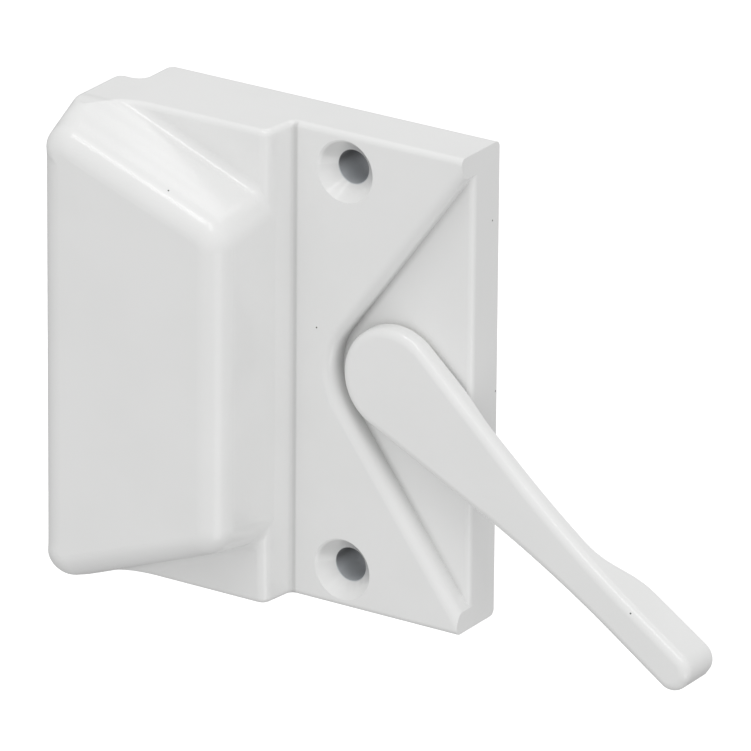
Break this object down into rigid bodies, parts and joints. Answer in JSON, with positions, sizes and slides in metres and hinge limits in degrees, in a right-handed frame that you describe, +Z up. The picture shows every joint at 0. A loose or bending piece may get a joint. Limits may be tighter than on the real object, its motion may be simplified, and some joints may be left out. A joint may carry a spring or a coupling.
{
  "type": "casement sash lock",
  "caption": "Surface-mounted casement sash lock with a hooded housing, a recessed swing lever and a cam hook that pulls the sash closed.",
  "frame": {"origin": "midway between the two screw holes, on the back plane that lies on the window frame", "axes": "+Y into the window frame, so that the lever faces -Y; +Z up; +X from the hood towards the lever"},
  "size_m": [0.0985, 0.0276, 0.0718],
  "materials": {
    "white_paint": "gloss white paint on a zinc die casting",
    "bright_steel": "turned bright steel",
    "spring_steel": "blued spring steel",
    "zinc_plated_steel": "bright zinc plate on pressed steel",
    "nylon": "natural nylon",
    "black_rubber": "black rubber"
  },
  "bodies": {
    "housing": {"housing": "white_paint", "spindle_bush": "nylon", "back_plate": "zinc_plated_steel", "back_plate_screw_1": "bright_steel", "back_plate_screw_2": "bright_steel", "back_plate_screw_3": "bright_steel", "back_plate_screw_4": "bright_steel", "stop_bumper_1": "black_rubber", "stop_bumper_2": "black_rubber"},
    "lever": {"handle": "white_paint", "spindle": "bright_steel", "friction_washer": "nylon", "disc_spring": "spring_steel", "hook_arm": "zinc_plated_steel", "hook_head": "zinc_plated_steel", "hook_rivet_1": "bright_steel", "hook_rivet_2": "bright_steel", "retaining_washer": "bright_steel", "retaining_clip": "spring_steel"}
  },
  "joints": [
    {"name": "lever_turn", "type": "hinge", "parent": "housing", "child": "lever", "pos_m": [0.0075, -0.0057, 0], "axis": [0, -1, 0], "range_deg": [-2, 70]}
  ]
}
